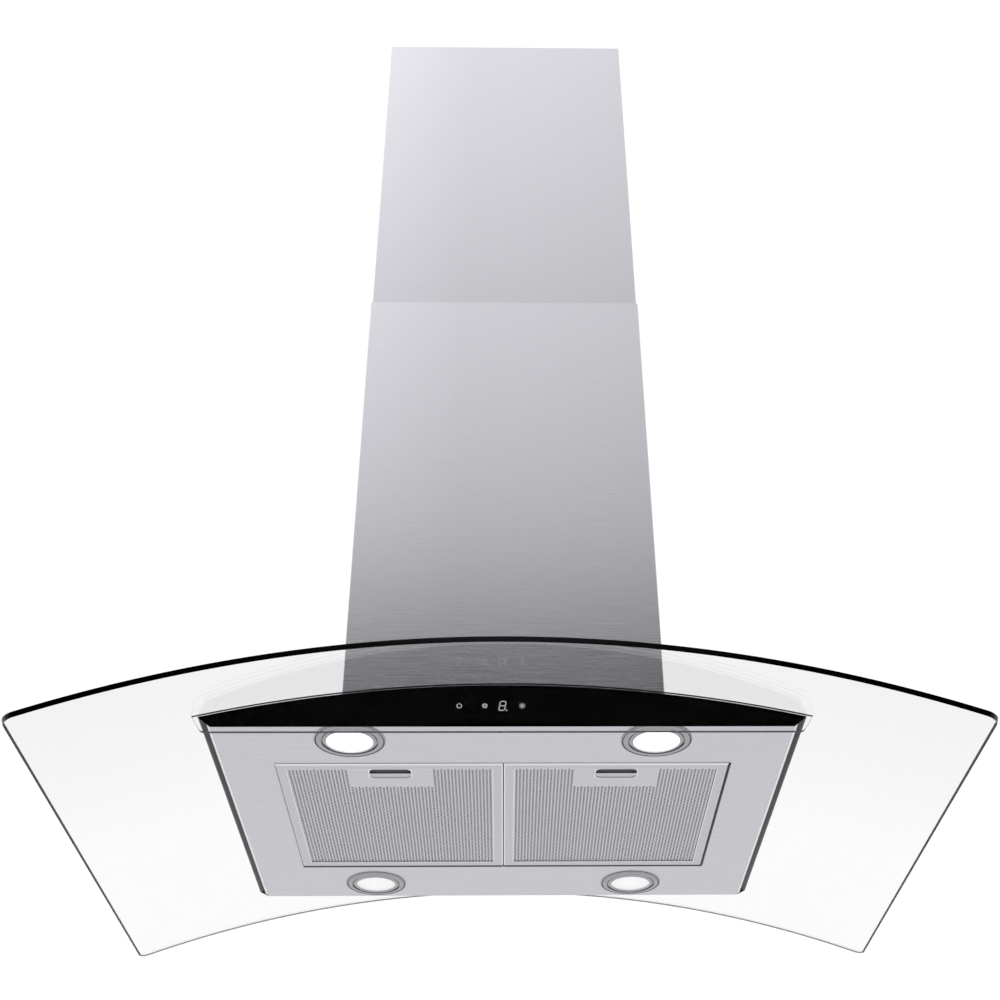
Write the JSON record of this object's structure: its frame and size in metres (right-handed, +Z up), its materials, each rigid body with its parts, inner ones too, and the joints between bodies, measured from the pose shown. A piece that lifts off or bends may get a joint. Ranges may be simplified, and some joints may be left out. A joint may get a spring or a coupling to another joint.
{
  "type": "range hood",
  "caption": "Ceiling-hung range hood with an arched glass canopy, telescopic steel chimney, black touch panel, spot lamps and latched grease filters over a centrifugal blower.",
  "frame": {"origin": "centre of the ceiling plate's top face, at the middle of its anchor holes", "axes": "+Z up towards the ceiling, +X to the hood's right as seen from the front, -Y towards the front panel"},
  "size_m": [0.9, 0.628, 1.1946],
  "materials": {
    "cover_steel": "fine horizontal brushing, satin",
    "pan_steel": "fine horizontal brushing, satin",
    "shell_paint": "dark grey, satin",
    "zinc_steel": "galvanised sheet, dull",
    "screw_steel": "zinc plated",
    "canopy_glass": "clear tempered, polished edges",
    "panel_glass": "clear, polished edges",
    "panel_black": "gloss black print",
    "seal_rubber": "matt",
    "circuit_board": "lacquered board",
    "display_black": "smoked",
    "lamp_metal": "satin turned",
    "lamp_diffuser": "frosted, lit",
    "blower_plastic": "moulded",
    "impeller_plastic": "moulded",
    "motor_paint": "black painted can",
    "filter_aluminium": "anodised, satin",
    "latch_steel": "satin"
  },
  "bodies": {
    "ceiling_section": {"ceiling_plate": "zinc_steel", "upper_post_front_left": "zinc_steel", "upper_post_front_right": "zinc_steel", "upper_post_rear_left": "zinc_steel", "upper_post_rear_right": "zinc_steel", "upper_cover_front": "cover_steel", "upper_cover_rear": "cover_steel", "upper_cover_screws": "screw_steel"},
    "hood": {"lower_post_front_left": "zinc_steel", "lower_post_front_right": "zinc_steel", "lower_post_rear_left": "zinc_steel", "lower_post_rear_right": "zinc_steel", "post_bolts": "screw_steel", "lower_cover_front": "cover_steel", "lower_cover_rear": "cover_steel", "lower_cover_screws": "screw_steel", "base_frame": "zinc_steel", "air_collar": "zinc_steel", "glass_canopy": "canopy_glass", "glass_seal_lower": "seal_rubber", "glass_seal_upper": "seal_rubber", "body_shell": "shell_paint", "bottom_pan": "pan_steel", "pan_screws": "screw_steel", "front_panel": "panel_glass", "panel_print": "panel_black", "touch_board": "circuit_board", "display_module": "display_black", "lamp_bezel_front_left": "lamp_metal", "lamp_bezel_front_right": "lamp_metal", "lamp_bezel_rear_left": "lamp_metal", "lamp_bezel_rear_right": "lamp_metal", "lamp_lens_front_left": "lamp_diffuser", "lamp_lens_front_right": "lamp_diffuser", "lamp_lens_rear_left": "lamp_diffuser", "lamp_lens_rear_right": "lamp_diffuser", "blower_box": "zinc_steel", "scroll_housing": "blower_plastic", "inlet_ring_front": "blower_plastic", "inlet_ring_rear": "blower_plastic", "motor": "motor_paint", "motor_bracket": "zinc_steel", "outlet_collar": "blower_plastic", "flap_pin": "screw_steel", "terminal_box": "zinc_steel"},
    "impeller": {"impeller": "impeller_plastic", "motor_shaft": "screw_steel"},
    "damper_flap_left": {"damper_flap_left": "blower_plastic"},
    "damper_flap_right": {"damper_flap_right": "blower_plastic"},
    "filter_left": {"filter_frame_left": "filter_aluminium", "filter_face_left": "filter_aluminium", "filter_core_left": "filter_aluminium", "latch_spring_left": "screw_steel"},
    "latch_left": {"latch_left": "latch_steel"},
    "filter_right": {"filter_frame_right": "filter_aluminium", "filter_face_right": "filter_aluminium", "filter_core_right": "filter_aluminium", "latch_spring_right": "screw_steel"},
    "latch_right": {"latch_right": "latch_steel"}
  },
  "joints": [
    {"name": "height_slide", "type": "slide", "parent": "ceiling_section", "child": "hood", "axis": [0, 0, 1], "range_m": [0, 0.35]},
    {"name": "impeller_spin", "type": "hinge", "parent": "hood", "child": "impeller", "pos_m": [-0.011, 0, -0.994], "axis": [0, -1, 0], "continuous": true},
    {"name": "damper_left", "type": "hinge", "parent": "hood", "child": "damper_flap_left", "pos_m": [0.053, 0, -0.878], "axis": [0, 1, 0], "range_deg": [0, 75]},
    {"name": "damper_right", "type": "hinge", "parent": "hood", "child": "damper_flap_right", "pos_m": [0.053, 0, -0.878], "axis": [0, -1, 0], "range_deg": [0, 75]},
    {"name": "filter_left_swing", "type": "hinge", "parent": "hood", "child": "filter_left", "pos_m": [-0.115, 0.125, -1.1529], "axis": [1, 0, 0], "range_deg": [0, 70]},
    {"name": "latch_left_slide", "type": "slide", "parent": "filter_left", "child": "latch_left", "axis": [0, 1, 0], "range_m": [0, 0.007], "stiffness_N_per_m": 400, "springref_m": -0.003, "deforming": ["latch_spring_left"]},
    {"name": "filter_right_swing", "type": "hinge", "parent": "hood", "child": "filter_right", "pos_m": [0.115, 0.125, -1.1529], "axis": [1, 0, 0], "range_deg": [0, 70]},
    {"name": "latch_right_slide", "type": "slide", "parent": "filter_right", "child": "latch_right", "axis": [0, 1, 0], "range_m": [0, 0.007], "stiffness_N_per_m": 400, "springref_m": -0.003, "deforming": ["latch_spring_right"]}
  ]
}
